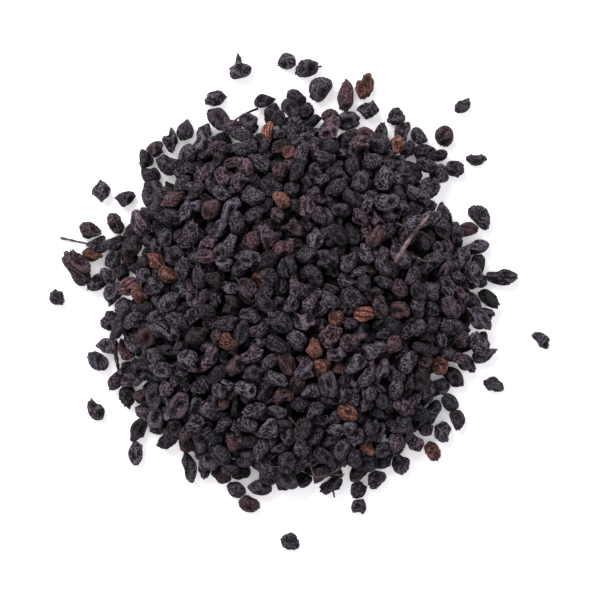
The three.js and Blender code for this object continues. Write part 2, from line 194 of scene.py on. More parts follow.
# The looks of loose berries that are unlike the common one
LOOSE_KINDS = {
    2: "plump", 3: "raisin", 4: "plump", 5: "smooth", 6: "raisin", 7: "netted", 9: "plump", 10: "raisin",
    11: "plump", 12: "plump", 13: "plump", 14: "netted", 15: "netted", 16: "grooved", 17: "plump",
    19: "plump", 31: "plump", 34: "sunken", 35: "plump", 36: "sunken",
}

# The same of the coloured ones on top
TOP_KINDS = {
    1: "ribbed", 2: "ribbed", 6: "ribbed", 7: "ribbed", 8: "ribbed", 11: "ribbed", 12: "plump", 13: "raisin",
    14: "plump", 16: "plump",
}

# Fine stalks that single berries hung on, thin and dark: points along each, and the radius at each point
PEDICELS = [
    [[-13.4, 35.2, 4.9, 0.20], [-12.0, 36.4, 3.6, 0.22], [-10.1, 37.5, 2.3, 0.24], [-8.4, 38.2, 1.7, 0.30]],
    [[-2.2, -23.0, 10.9, 0.20], [-0.6, -24.6, 12.3, 0.20], [1.1, -26.7, 12.5, 0.22]],
    [[1.9, -31.8, 6.8, 0.20], [3.0, -34.9, 7.1, 0.20], [5.8, -34.4, 6.9, 0.20], [7.8, -33.4, 6.7, 0.22]],
    [[5.6, -34.4, 6.8, 0.18], [7.2, -34.6, 6.2, 0.17], [8.8, -34.6, 5.4, 0.16]],
    [[6.6, -38.0, 1.6, 0.18], [6.9, -39.4, 1.3, 0.20]],
    [[3.2, 46.5, 1.8, 0.20], [4.3, 46.6, 1.7, 0.24]],
    [[9.1, 38.2, 1.6, 0.20], [9.0, 37.4, 1.5, 0.16]],
]

# Paler ones near the big bit of stalk
PALE_PEDICELS = [
    [[21.9, 12.5, 12.2, 0.24], [23.8, 13.4, 12.4, 0.20], [25.7, 11.9, 11.8, 0.18]],
    [[18.9, 15.1, 13.3, 0.16], [20.6, 14.3, 13.6, 0.18], [21.1, 12.9, 13.2, 0.16]],
    [[23.0, 8.4, 12.2, 0.17], [24.6, 7.6, 12.4, 0.20], [26.0, 7.8, 11.8, 0.16]],
]
PERCH = 0.6  # how far to each side a fine stalk feels the berries that it lies on

# Stubs of such stalks on the heap's berries: the share of berries with one, and its least and most size
STUB_SHARE = 0.12
STUB_LENGTHS = (0.5, 1.4)
STUB_RADII = (0.13, 0.19)
STUB_FACING = -0.35  # how far down a stalk end may point and still have its stub modelled

# Bits of stalk: points along each, and the radius at each point
STALKS = {
    "stalk_on_top": [[18.6, 7.4, 13.2, 0.46], [21.8, 12.4, 12.0, 0.36], [25.5, 16.8, 9.3, 0.28]],
    "stalk_left": [[-40.4, 10.8, 1.2, 0.22], [-44.2, 11.6, 0.7, 0.2], [-47.9, 12.4, 0.35, 0.26]],
    "stalk_lower_left": [[-36.2, -14.2, 0.8, 0.3], [-36.6, -11.8, 2.0, 0.4], [-36.9, -9.2, 3.9, 0.42]],
}

STALK_RIBS = 0.10  # how high a stalk's ribs are, over its radius
STALK_ROUGHNESS = 0.06
STALK_SWELLINGS = 0.12
STALK_END = 0.75  # how thick its ends are, over its thickness there
STALK_TIP = 0.4  # how far they bulge
BARK_CUTS = (14, 14)  # sides of a stalk, and steps from one of its points to the next
PEDICEL_CUTS = (8, 5)

# How pale stalks and berries are, from 0, dark, to 1
STALK_TONES = {"stalk_on_top": 0.62, "stalk_left": 0.35, "stalk_lower_left": 0.6}
PEDICEL_TONE = 0.12
PALE_PEDICEL_TONE = 0.4
TONES = (0.53, 0.25)  # a berry's on average, and how far they spread
LEAST_TONE = 0.1
LISTED_LEAST_TONE = 0.45
TOP_TONES = {1: 0.95, 2: 0.75, 8: 0.95, 11: 1.0, 14: 0.6}  # of single berries, by number
LOOSE_TONES = {5: 0.9, 18: 1.0}
BURIED_PAINTED_SHADE = 0.25  # how much darker a berry is that hardly shows, as painted shade
HALF_SHOWN = 0.5  # the share of a berry's disc that has to show for none of that

# How red berries are, from 0, bluish, to 1
TINTS = (0.45, 0.28)
COLOURED_MOST_TINT = 0.55
TOP_TINTS = {1: 0.6, 6: 0.6, 7: 0.5, 11: 0.8}

# Painted light and shade on the heap: darker deep between berries, lighter on the top ones
LEVELLED = 6  # how many grid steps to each side the heap's surface is levelled over
SHADE_DEPTH = 3.0  # how far under that surface a berry lies in full painted shade

SHOWN = 0.30  # the share of a berry's disc that shows if it counts as one that can be seen
GLIMPSED = 0.06  # the same of one between others
LOW = 1.3  # how high the middle of a berry on the table is at most, over its radius
CROWN_RADIUS = 14  # of the round piece in the middle of the heap
SECTORS = 8  # the pieces round that one

# How finely a berry is cut: the parts that each edge of an icosahedron is divided into
FINEST = 15  # loose on the table
FINE = 12  # seen in the heap, or listed on top of it
MIDDLE = 9  # between others
UNDERSIDE = 5  # on the table, under others
COARSE = 3  # inside the heap

# The share of its triangles that a piece keeps, mostly where its skin is folded
HEAP_TRIANGLES = 0.31
LISTED_TRIANGLES = 0.6

chance = np.random.RandomState(7)


# ---- the pour --------------------


def generator(seed):
    """Numbers from 0 to 1 by a linear congruence, the same ones that the solids were poured with."""
    state = seed
    while True:
        state = (state * 1664525 + 1013904223) % 2**32
        yield state / 2**32


def outline_radius(x, y):
    """How far the heap's outline is from its middle, in the direction of a point."""
    turn = (math.atan2(y, x) / (2 * math.pi) + 1) * len(OUTLINE)
    before = math.floor(turn)
    share = turn - before
    here = OUTLINE[before % len(OUTLINE)]
    after = OUTLINE[(before + 1) % len(OUTLINE)]
    return here * (1 - share) + after * share


def surface_height(x, y):
    """How high the heap may stand at a point, or 0 outside its outline."""
    out = math.sqrt(x * x + y * y) / outline_radius(x, y)
    if out > 1:
        return 0
    if out > MOUND:
        return RIM_HEIGHT
    return EDGE_HEIGHT + (HEAP_HEIGHT - EDGE_HEIGHT) * (1 - (out / MOUND) ** STEEPNESS)


def resting_heights(placed, spots, r):
    """The height at which a ball of radius r, coming down at each spot, meets the table or another ball."""
    reach = r + placed[:, 3]
    dx = spots[:, :1] - placed[:, 0]
    dy = spots[:, 1:] - placed[:, 1]
    left = reach * reach - dx * dx - dy * dy
    heights = np.where(left > 0, placed[:, 2] + np.sqrt(np.maximum(left, 0)), 0)
    return np.maximum(heights.max(axis=1), r)


def settle(placed, x, y, r):
    """Lets a ball fall at (x, y) and roll downhill until it is held or has no strides left."""
    here = np.array([x, y])
    z = resting_heights(placed, here[None], r)[0]
    for stride in STRIDES:
        for _ in range(STRIDES_EACH):
            there = here + COMPASS * stride
            heights = resting_heights(placed, there, r)
            lowest = int(np.argmin(heights))
            if heights[lowest] >= z:
                break
            here, z = there[lowest], heights[lowest]
    return here[0], here[1], z


def listed_ball(entry, crown):
    """The ball of a LOOSE or COLOURED berry, with its crown at that height or lying on the table."""
    x, y, length, width = entry[:4]
    r = (length + 2 * width) / 6
    return [x, y, max(width / 2, crown - r), r]


def pour(on_top, random):
    """The balls that the heap's berries fill: those of its rim, and those poured round the ones on top."""
    placed = np.zeros((DROPS + len(on_top) + len(RIM), 4))
    count = len(on_top) + len(RIM)
    placed[:count] = on_top + [[x, y, r, r] for x, y, r in RIM]
    widest = max(OUTLINE)
    for _ in range(DROPS):
        r = SMALLEST + (LARGEST - SMALLEST) * 0.5 * (next(random) + next(random))
        spots = np.array([[(2 * next(random) - 1) * widest for _ in "xy"] for _ in range(SPOTS_EACH)])
        heights = resting_heights(placed[:count], spots, r)
        rooms = np.array([surface_height(*spot) for spot in spots]) - heights
        best = int(np.argmax(rooms))
        spot = spots[best] if rooms[best] > 0 else (0, 0)
        x, y, z = settle(placed[:count], *spot, r)
        if z + r <= surface_height(x, y):
            placed[count] = x, y, z, r
            count += 1
    return placed[len(on_top):count]


def gaps(balls, ball):
    """How far each ball is from touching that one, less than nothing where they overlap."""
    dx, dy, dz = (balls[:, :3] - ball[:3]).T
    return np.sqrt(dx * dx + dy * dy + dz * dz) - balls[:, 3] - ball[3]


def gathered(balls):
    """The balls in one touching group, from the last one outwards, each pressed into its nearest one."""
    group = [balls[-1]]
    waiting = balls[:-1]
    nearest = np.full(len(waiting), np.inf)
    mates = np.zeros((len(waiting), 4))
    while len(waiting):
        gap = gaps(waiting, group[-1])
        closer = gap < nearest
        nearest[closer] = gap[closer]
        mates[closer] = group[-1]
        chosen = int(np.argmin(nearest))
        ball, mate = waiting[chosen], mates[chosen]
        gap = gaps(ball[None], mate)[0]
        share = (gap + PRESS) / (gap + ball[3] + mate[3])
        group.append(np.append(ball[:3] + (mate[:3] - ball[:3]) * share, ball[3]))
        waiting, nearest, mates = (np.delete(a, chosen, axis=0) for a in (waiting, nearest, mates))
    return np.array(group)


def turned(about_x, about_y, about_z):
    """The matrix that turns about x, then y, then z."""
    cx, sx = math.cos(about_x), math.sin(about_x)
    cy, sy = math.cos(about_y), math.sin(about_y)
    cz, sz = math.cos(about_z), math.sin(about_z)
    rx = np.array([[1, 0, 0], [0, cx, -sx], [0, sx, cx]])
    ry = np.array([[cy, 0, sy], [0, 1, 0], [-sy, 0, cy]])
    rz = np.array([[cz, -sz, 0], [sz, cz, 0], [0, 0, 1]])
    return rz @ ry @ rx


def beside(room, spots, ball):
    """The room for a ball at each spot, where that ball leaves no more."""
    return np.minimum(room, np.linalg.norm(spots - ball[:3], axis=1) - ball[3])


def filled(balls, others):
    """Smaller balls for the hollows that the pour has left, as large as each hollow allows."""
    widest = max(OUTLINE)
    spots = chance.uniform([-widest, -widest, SMALLEST], [widest, widest, HEAP_HEIGHT], (FILLING_TRIES, 3))
    spots = spots[[z + SMALLEST < surface_height(x / FILLING_SHARE, y / FILLING_SHARE) for x, y, z in spots]]
    room = np.minimum(spots[:, 2], np.array([surface_height(x, y) - FILLING_DEPTH - z for x, y, z in spots]))
    for ball in np.concatenate([balls, others]):
        room = beside(room, spots, ball)
    added = []
    while room.max() + FILLING_PRESS > FILLING_LEAST:
        best = int(np.argmax(room))
        added.append(np.append(spots[best], min(room[best] + FILLING_PRESS, LARGEST)))
        room = beside(room, spots, added[-1])
    return np.array(added)


def not_under(spots, ball):
    """The spots that a berry in that ball may leave open to view from above."""
    return spots[np.linalg.norm(spots - ball[:2], axis=1) > OPAQUE * ball[3]]


def covered(balls, others):
    """Balls for the places where the table would show through the heap, each at the roomiest height."""
    everyone = np.concatenate([balls, others])
    axis = np.arange(-max(OUTLINE), max(OUTLINE), PITCH)
    xs, ys = (grid.ravel() for grid in np.meshgrid(axis, axis))
    inside = np.array([surface_height(x / FILLING_SHARE, y / FILLING_SHARE) > 0 for x, y in zip(xs, ys)])
    spots = np.stack([xs[inside], ys[inside]], axis=1)
    for ball in everyone:
        spots = not_under(spots, ball)
    added = []
    while len(spots):
        x, y = spots[0]
        heights = np.arange(SMALLEST, surface_height(x, y) - 2 * SMALLEST, PLUG_STEP)
        column = np.stack([np.full_like(heights, x), np.full_like(heights, y), heights], axis=1)
        room = np.full(len(column), np.inf)
        for ball in everyone:
            room = beside(room, column, ball)
        best = int(np.argmax(room))
        ball = np.append(column[best], max(room[best] + FILLING_PRESS, PLUG))
        added.append(ball)
        everyone = np.concatenate([everyone, ball[None]])
        spots = not_under(spots, ball)
    return np.array(added).reshape(-1, 4)


def poured_heap():
    """The heap's balls and how the berry in each is turned."""
    on_top = [listed_ball(entry, surface_height(entry[0], entry[1]) - SUNK) for entry in COLOURED]
    loose = [np.array(listed_ball(entry, 0)) for entry in LOOSE]
    random = generator(POUR_SEED)
    balls = pour(on_top, random)
    room = np.min([gaps(balls, ball) for ball in loose], axis=0)
    touching = balls[(room <= 0) & (room > -TUCKED)]
    balls = gathered(balls[room > 0])
    others = np.concatenate([on_top, loose, touching])
    hidden = filled(balls, others)
    foot = np.array([[x, y, r, r] for x, y, r in GAPS])
    hidden = np.concatenate([hidden, covered(np.concatenate([balls, hidden]), others), touching, foot])
    turns = []
    for _ in range(len(balls) + len(hidden)):
        spin = 2 * math.pi * next(random)
        lean = TILT * (2 * next(random) - 1)
        turns.append(turned(spin, lean, 2 * math.pi * next(random)))
    balls, turns = np.concatenate([balls, hidden]), np.array(turns)
    kept = np.ones(len(balls), bool)
    for x, y, reach in EMPTY:
        kept &= np.hypot(balls[:, 0] - x, balls[:, 1] - y) > reach
    return balls[kept], turns[kept]


# ---- one berry's mesh --------------------


def icosahedron():
    g = (1 + math.sqrt(5)) / 2
    corners = [(0, 1, g), (0, -1, g), (0, 1, -g), (0, -1, -g)]
    corners += [(1, g, 0), (-1, g, 0), (1, -g, 0), (-1, -g, 0)]
    corners += [(g, 0, 1), (-g, 0, 1), (g, 0, -1), (-g, 0, -1)]
    points = np.array(corners) / math.hypot(1, g)
    side = min(np.linalg.norm(points[0] - q) for q in points[1:]) * 1.01
    near = np.linalg.norm(points[:, None] - points, axis=2) < side
    faces = []
    for a, b, c in itertools.combinations(range(len(points)), 3):
        if near[a, b] and near[b, c] and near[a, c]:
            out = np.dot(np.cross(points[b] - points[a], points[c] - points[a]), points[a]) > 0
            faces.append((a, b, c) if out else (a, c, b))
    return points, faces


class Ball:
    """A round mesh of radius 1 with even triangles, and who neighbours whom on it."""

    def __init__(self, parts):
        points, faces = icosahedron()
        found, triangles = {}, []

        def corner(face, i, j):
            a, b, c = (points[k] for k in face)
            p = a * (parts - i - j) + b * i + c * j
            p = p / np.linalg.norm(p)
            return found.setdefault(tuple(np.round(p, 6) + 0.0), (len(found), p))[0]

        for face in faces:
            for i in range(parts):
                for j in range(parts - i):
                    one, two, three = corner(face, i, j), corner(face, i + 1, j), corner(face, i, j + 1)
                    triangles.append((one, two, three))
                    if i + j < parts - 1:
                        triangles.append((two, corner(face, i + 1, j + 1), three))
        self.points = np.array([p for _, p in found.values()])
        self.triangles = np.array(triangles)
        self.beside = np.zeros((len(self.points), 6), int)
        self.round = np.full((len(self.points), 6), len(triangles))
        following = [{} for _ in self.points]
        owners = [[] for _ in self.points]
        for n, (a, b, c) in enumerate(triangles):
            following[a][b], following[b][c], following[c][a] = c, a, b
            for point in (a, b, c):
                owners[point].append(n)
        for k, ways in enumerate(following):
            ring = list(ways) + [k] * (6 - len(ways))
            self.beside[k] = ring
            self.round[k, : len(owners[k])] = owners[k]

    def smoothed(self, values, times):
        for _ in range(times):
            values = values[:, self.beside].mean(axis=2)
        return values

    def normals(self, points):
        a, b, c = (points[:, self.triangles[:, k]] for k in range(3))
        facing = np.cross(b - a, c - a)
        facing = np.concatenate([facing, np.zeros_like(facing[:, :1])], axis=1)
        total = facing[:, self.round].sum(axis=2)
        return total / np.maximum(np.linalg.norm(total, axis=2, keepdims=True), 1e-12)


def unit(vectors):
    """The vectors at a length of 1."""
    return vectors / np.linalg.norm(vectors, axis=-1, keepdims=True)


def level_way(azimuth):
    """The level direction at that azimuth in degrees."""
    return np.array([math.cos(math.radians(azimuth)), math.sin(math.radians(azimuth)), 0.0])


def waves(points, number, count):
    """Random bumps about 1 high with so many radians to a unit of length, other ones for each berry."""
    ways = unit(chance.normal(size=(len(points), count, 3)))
    phases = chance.uniform(0, 2 * math.pi, (len(points), 1, count))
    number = np.reshape(number, (-1, 1, 1))
    crests = np.cos(points @ np.swapaxes(ways * number, 1, 2) + phases)
    return crests.sum(axis=2) * math.sqrt(2 / count)


def each(low, high, count):
    """A number for each berry, as a column."""
    return chance.uniform(low, high, (count, 1))


def directions(count):
    return unit(chance.normal(size=(count, 3)))


def far_along(ways, points):
    """How far each point lies along its own berry's way."""
    return (points @ ways[:, :, None])[:, :, 0]


def angles_from(ways, points):
    """The angle between each berry's own way and the way to each of its points."""
    return np.arccos(np.clip(far_along(ways, points), -1, 1))


# Kinds of berry: share of the heap, how deep each form is over the berry's radius, how long it is drawn
# out, and how crisp the grain of its skin is
KINDS = {
    #          share, facets, lumps, wrinkles, wrinkle number, grooves, dent, crease, stretch, grain
    "smooth": (0.00, 0.25, 0.030, 0.015, 7.0, 0.010, 0.06, 0.05, 1.00, 0.8),
    "plump": (0.22, 0.55, 0.050, 0.030, 9.0, 0.015, 0.12, 0.10, 1.00, 0.75),
    "raisin": (0.26, 0.75, 0.060, 0.080, 9.5, 0.020, 0.12, 0.10, 1.02, 1.0),
    "netted": (0.15, 0.65, 0.050, 0.066, 13.0, 0.010, 0.14, 0.06, 0.97, 1.0),
    "sunken": (0.14, 1.10, 0.075, 0.045, 9.0, 0.020, 0.32, 0.12, 0.98, 0.8),
    "grooved": (0.12, 0.75, 0.050, 0.035, 9.0, 0.080, 0.10, 0.14, 1.12, 0.8),
    "slack": (0.15, 1.50, 0.060, 0.020, 6.5, 0.015, 0.20, 0.16, 1.05, 0.6),
    "ribbed": (0.00, 0.45, 0.040, 0.022, 8.0, 0.150, 0.08, 0.10, 1.05, 0.6),
}


PLANES = 9  # the flats that a skin sinks to between the seeds
SHARPNESS = 24  # of the edges between them
CRESTED = 0.45  # the share of berries with sharp folds and round creases, not the other way round
NUBS = 7
NUB_HEIGHT = 0.26
TAIL = 0.45  # the most that a berry's stalk end is drawn out, over its radius
LISTED_TAIL = 0.05  # the same of a listed berry, whose points are listed too


def berry_points(ball, kinds, tails):
    """A shrivelled berry of radius 1 for each kind and tail, with its stalk end at +x."""
    count = len(kinds)
    d = np.repeat(ball.points[None], count, axis=0)
    table = np.array([KINDS[kind] for kind in kinds])
    facets, lumps, wrinkles, number, grooves, dents, creases, stretch = (
        table[:, k, None] for k in range(1, 9)
    )
    wander = np.stack([waves(d, 3.0, 6) for _ in range(3)], axis=2)
    p = d + 0.10 * wander

    # The skin has sunk flat between the seeds, and a little further than flat
    ways = unit(chance.normal(size=(count, PLANES, 3)) * [0.75, 1, 1])
    depths = chance.uniform(0.76, 0.98, (count, 1, PLANES))
    slopes = np.maximum(p @ np.swapaxes(ways, 1, 2) / depths, 0)
    flat = (1 + (slopes**SHARPNESS).sum(axis=2)) ** (-1 / SHARPNESS)
    out = 1 - (1 + facets) * (1 - flat)

    # Low lumps, folds with creases between them, and finer ones
    out += lumps * waves(p, 3.2, 8)
    folds = np.abs(waves(p, number, 14))
    upward = np.where(chance.uniform(size=(count, 1)) < CRESTED, -1.0, 1.0)
    out += wrinkles * upward * (np.minimum(folds, 1.3) - 0.75)
    out += 0.35 * wrinkles * (np.abs(waves(p, number * 2.1, 14)) - 0.8)

    # Grooves from end to end
    x = d[:, :, 0]
    side = np.sqrt(np.maximum(1 - x * x, 0))
    turn = np.arctan2(p[:, :, 2], p[:, :, 1])
    ribs = chance.randint(3, 6, (count, 1))
    phase = each(0, 2 * math.pi, count)
    out += grooves * side * (np.abs(np.cos(ribs * turn + phase + 0.5 * waves(d, 2.0, 4))) - 0.6)

    # One side fallen in, with a rolled rim
    away = angles_from(unit(directions(count) * [0.5, 1, 1]), p)
    reach = each(0.7, 1.2, count)
    hollow = np.clip(1 - (away / reach) ** 2, 0, 1) ** 2
    rim = np.exp(-(((away - reach) / 0.25) ** 2))
    out += dents * each(0.2, 1.0, count) * (0.18 * rim - hollow)

    # A crease along part of one side
    across = unit(directions(count) * [0.35, 1, 1])
    off = far_along(across, p) - each(-0.3, 0.3, count)
    shown = 1 / (1 + np.exp(-6 * far_along(directions(count), d)))
    out -= creases * each(0.3, 1.4, count) * shown * np.exp(-((off / 0.11) ** 2))

    # The stalk end comes to a point, and the flower end has a crater with the stubs of a crown round it
    out += each(0.02, 0.16, count) * np.maximum(x, 0) ** 8
    out += each(0, 1, count) ** 4 * np.reshape(tails, (-1, 1)) * np.maximum(x, 0) ** 30
    tail = np.arccos(np.clip(-x, -1, 1))
    crown = each(0.03, 0.14, count) * (1 + 0.7 * np.cos(5 * turn + phase))
    out += crown * np.exp(-(((tail - 0.30) / 0.10) ** 2)) - 0.12 * np.exp(-((tail / 0.16) ** 2))

    # Nubs and torn bits of skin
    for _ in range(NUBS):
        nub = angles_from(directions(count), d)
        out += NUB_HEIGHT * each(0, 1, count) ** 3 * np.exp(-((nub / each(0.09, 0.20, count)) ** 2))

    out /= out.mean(axis=1, keepdims=True)
    points = d * out[:, :, None]
    points[:, :, 0] *= stretch
    points[:, :, 1:] /= np.sqrt(stretch)[:, :, None]
    return points


SMOOTHING = 700  # how many points a ball has for each step of smoothing


def reliefs(ball, points):
    """How far each point of a berry stands out of the skin close round it, and further round it."""
    normals = ball.normals(points)
    steps = max(1, round(len(ball.points) / SMOOTHING))
    fine = ((points - ball.smoothed(points, steps)) * normals).sum(axis=2)
    broad = ((points - ball.smoothed(points, 6 * steps)) * normals).sum(axis=2)
    return fine * (FINE * FINE / steps), broad


# ---- laying them out --------------------


def support(shares, turn, r, way):
    """How far an ellipsoidal berry reaches from its middle in a direction."""
    return r * np.linalg.norm(np.array(shares) * (turn.T @ way))


SOFT = 0.10  # how softly berries that press together flatten
CLEARANCE = 0.02  # of each berry from the plane where it meets another
RESTING = 0.01  # how high over the table a loose berry's lowest point is set
STANDING = 0.12  # how high over the table a skin is held back, so that the soft edge ends on it
NEIGHBOURLY = 1.12  # how far out a berry looks for others, over its own reach


def flattened(points, middle, way, limit):
    """The points held back to a plane that faces that way, with a soft edge."""
    past = ((points - middle) @ way - limit) / SOFT
    back = SOFT * np.logaddexp(0, past) * (past > -6)
    return points - back[:, None] * way


def pointed(points, middle, azimuth, reach, width):
    """The points drawn out to a spike that way along the table."""
    way = level_way(azimuth)
    offset = points - middle
    angle = np.arccos(np.clip(offset @ way / np.linalg.norm(offset, axis=1), -1, 1))
    return points + (reach * np.maximum(1 - angle / width, 0) ** 1.4)[:, None] * way


class Berry:
    """One berry's place, size and turn, in millimetres, and its finish."""

    def __init__(self, centre, r, turn, shares, kind, hue, parts, fitted=False):
        self.centre = np.array(centre, float)
        self.r = r
        self.turn = turn
        self.shares = np.array(shares, float)
        self.kind = kind
        self.hue = hue
        self.grain = KINDS[kind][-1]
        self.parts = parts
        self.fitted = fitted


@functools.cache
def ball_of(parts):
    return Ball(parts)


FULLNESS = 0.468  # how far a listed berry's skin lies from its middle on average, over its half size
BATCH = 60  # how many berries are shaped at once


def shape(berries):
    """Gives every berry its points in millimetres, and the relief at each."""
    for parts in sorted({berry.parts for berry in berries}):
        ball = ball_of(parts)
        same = [berry for berry in berries if berry.parts == parts]
        for start in range(0, len(same), BATCH):
            batch = same[start:start + BATCH]
            tails = [LISTED_TAIL if berry.fitted else TAIL for berry in batch]
            forms = berry_points(ball, [berry.kind for berry in batch], tails)
            fine, broad = reliefs(ball, forms)
            for k, berry in enumerate(batch):
                form = forms[k]
                if berry.fitted:
                    form = form - form.mean(axis=0)
                    form = form * FULLNESS / np.abs(form).mean(axis=0)
                berry.points = berry.centre + (form * berry.shares * berry.r) @ berry.turn.T
                berry.fine, berry.broad = fine[k], broad[k]


def press_together(berries):
    """Flattens berries where they meet, so that none goes into its neighbour or the table."""
    centres = np.array([berry.centre for berry in berries])
    reaches = np.array([berry.r * berry.shares.max() for berry in berries]) * NEIGHBOURLY
    for n, berry in enumerate(berries):
        apart = np.linalg.norm(centres - berry.centre, axis=1)
        for k in np.nonzero((apart < reaches + reaches[n]) & (apart > 0))[0]:
            other = berries[k]
            way = (other.centre - berry.centre) / apart[k]
            mine = support(berry.shares, berry.turn, berry.r, way)
            theirs = support(other.shares, other.turn, other.r, way)
            spare = apart[k] - mine - theirs
            limit = mine + spare * mine / (mine + theirs) if spare < 0 else mine + spare / 2
            berry.points = flattened(berry.points, berry.centre, way, limit - CLEARANCE)
        berry.points = flattened(berry.points, np.zeros(3), np.array([0.0, 0.0, -1.0]), -STANDING)


GRID = np.arange(-51, 51, PITCH)


def seen_from_above(berries):
    """How much of each berry's disc shows from above, and how high the topmost berry stands over a grid."""
    xs, ys = np.meshgrid(GRID, GRID)
    top = np.zeros(xs.shape)
    owner = np.full(xs.shape, -1)
    for n, berry in enumerate(berries):
        x, y, z = berry.centre
        rows = slice(*np.searchsorted(GRID, [y - berry.r, y + berry.r]))
        cols = slice(*np.searchsorted(GRID, [x - berry.r, x + berry.r]))
        left = berry.r**2 - (xs[rows, cols] - x) ** 2 - (ys[rows, cols] - y) ** 2
        height = np.where(left > 0, z + np.sqrt(np.maximum(left, 0)), -1)
        higher = height > top[rows, cols]
        top[rows, cols][higher] = height[higher]
        owner[rows, cols][higher] = n
    counts = np.bincount(owner[owner >= 0], minlength=len(berries))
    discs = np.array([math.pi * berry.r**2 / PITCH**2 for berry in berries])
    return counts / discs, top


def painted_shade_shares(berries, top):
    """Gives each point a number from 0, deep between berries, to 1, on the heap's top, for painted shade
    between berries and painted light on the top ones.
    """
    around = np.ones(2 * LEVELLED + 1) / (2 * LEVELLED + 1)
    for _ in range(4):
        top = np.array([np.convolve(row, around, "same") for row in top.T])
    for berry in berries:
        places = ((berry.points[:, :2] - GRID[0]) / PITCH).round().astype(int)
        cols, rows = np.clip(places, 0, len(GRID) - 1).T
        # painted shade: the deeper a point lies under the levelled surface, the darker it is
        berry.open = np.clip(1 + (berry.points[:, 2] - top[rows, cols]) / SHADE_DEPTH, 0, 1)


# ---- materials --------------------


def linear(*screen):
    """A screen colour from 0 to 255 as the light that it stands for."""
    shares = [value / 255 for value in screen]
    return *(s / 12.92 if s <= 0.04045 else ((s + 0.055) / 1.055) ** 2.4 for s in shares), 1.0


class Nodes:
    """A short way to write a material's nodes."""

    def __init__(self, name):
        self.material = bpy.data.materials.new(name)
        self.material.use_nodes = True
        self.tree = self.material.node_tree
        self.tree.nodes.clear()

    def add(self, kind, inputs=(), **settings):
        node = self.tree.nodes.new("ShaderNode" + kind)
        for key, value in settings.items():
            setattr(node, key, value)
        for key, value in dict(inputs).items():
            if isinstance(value, bpy.types.NodeSocket):
                self.tree.links.new(value, node.inputs[key])
            else:
                node.inputs[key].default_value = value
        return node

    def math(self, operation, one, two):
        return self.add("Math", {0: one, 1: two}, operation=operation).outputs[0]

    def mix(self, share, one, two, blend="MIX"):
        """A mix of two colours, which have the inputs 6 and 7 of that node."""
        inputs = {"Factor": share, 6: one, 7: two}
        return self.add("Mix", inputs, data_type="RGBA", blend_type=blend).outputs[2]

    def noise(self, place, scale, detail, roughness=0.5, distortion=0.0):
        inputs = {"Vector": place, "Scale": scale, "Detail": detail, "Roughness": roughness}
        return self.add("TexNoise", {**inputs, "Distortion": distortion}).outputs["Fac"]

    def ramp(self, share, stops):
        node = self.add("ValToRGB", {"Fac": share})
        elements = node.color_ramp.elements
        for k, (position, colour) in enumerate(stops):
            element = elements[k] if k < 2 else elements.new(position)
            element.position = position
            element.color = colour
        return node.outputs["Color"]

    def toned(self, colour, share, stops):
        """The colour times the one on a ramp."""
        return self.mix(1.0, colour, self.ramp(share, stops), "MULTIPLY")

    def spread(self, value, low, high, start=0.0, end=1.0):
        """The value, with low and high moved to start and end."""
        inputs = {"Value": value, "From Min": low, "From Max": high, "To Min": start, "To Max": end}
        return self.add("MapRange", inputs).outputs["Result"]

    def attribute(self, name):
        return self.add("Attribute", attribute_name=name).outputs["Fac"]

    def finish(self, shader):
        output = self.add("OutputMaterial")
        self.tree.links.new(shader, output.inputs["Surface"])
        return self.material


def grey(value):
    return value, value, value, 1.0


def skin_material(name, deep, middle, high, dust, gloss):
    """Dried skin with a net of fine wrinkles and pits: near black in its creases, which is painted shade,
    and paler on its ridges, partly dusty bloom and partly painted highlight.
    """
    n = Nodes(name)
    place = n.add("TexCoord").outputs["Object"]
    fine = n.attribute("fine")
    broad = n.attribute("broad")
    cloud = n.noise(place, 330.0, 2.0)
    web = n.noise(place, 1250.0, 1.5, distortion=0.5)
    pucker = n.noise(place, 3000.0, 2.0, roughness=0.55)
    ridge = n.spread(n.math("ABSOLUTE", n.math("SUBTRACT", web, 0.5), 0.0), 0.0, 0.10)

    relief = n.math("ADD", n.math("MULTIPLY", ridge, 0.6), n.spread(pucker, 0.32, 0.68))
    relief = n.math("ADD", n.math("MULTIPLY", n.math("SUBTRACT", relief, 0.68), n.attribute("grain")), 0.68)
    # painted shade and light: the level is low in creases and pits and high on crests, by how far the skin
    # stands out
    folds = n.math("MULTIPLY", n.spread(fine, -2.0, 2.0), 0.65)
    level = n.math("ADD", folds, n.math("MULTIPLY", n.spread(broad, -0.18, 0.18), 0.45))
    level = n.math("ADD", level, n.math("MULTIPLY", relief, 0.85))
    level = n.spread(level, 0.78, 1.86)
    colour = n.ramp(level, [(0.0, deep), (0.53, middle), (1.0, high)])
    dusty = n.math("MULTIPLY", n.spread(pucker, 0.54, 0.70), n.spread(cloud, 0.40, 0.62))
    colour = n.mix(n.math("MULTIPLY", dusty, 0.6), colour, dust)
    tones = [(0.0, grey(0.19)), (0.5, grey(0.63)), (1.0, grey(1.08))]
    # painted shade deep between berries and painted light on the top ones, by the open attribute
    painted_shades = [(0.0, grey(0.09)), (0.5, grey(0.44)), (1.0, grey(1.2))]
    tints = [(0.0, (0.94, 0.95, 1.0, 1.0)), (0.55, (1.0, 0.915, 1.0, 1.0)), (1.0, (1.24, 0.87, 0.90, 1.0))]
    for key, stops in (("tone", tones), ("open", painted_shades), ("tint", tints)):
        colour = n.toned(colour, n.attribute(key), stops)

    rough = n.spread(cloud, 0.3, 0.7, 0.50 - gloss, 0.75 - gloss)
    bump = n.add("Bump", {"Height": relief, "Strength": 1.0, "Distance": 0.00026})
    skin = n.add("BsdfPrincipled", {
        "Base Color": colour, "Roughness": rough, "Normal": bump.outputs[0], "Specular IOR Level": 0.28,
    })
    return n.finish(skin.outputs[0])


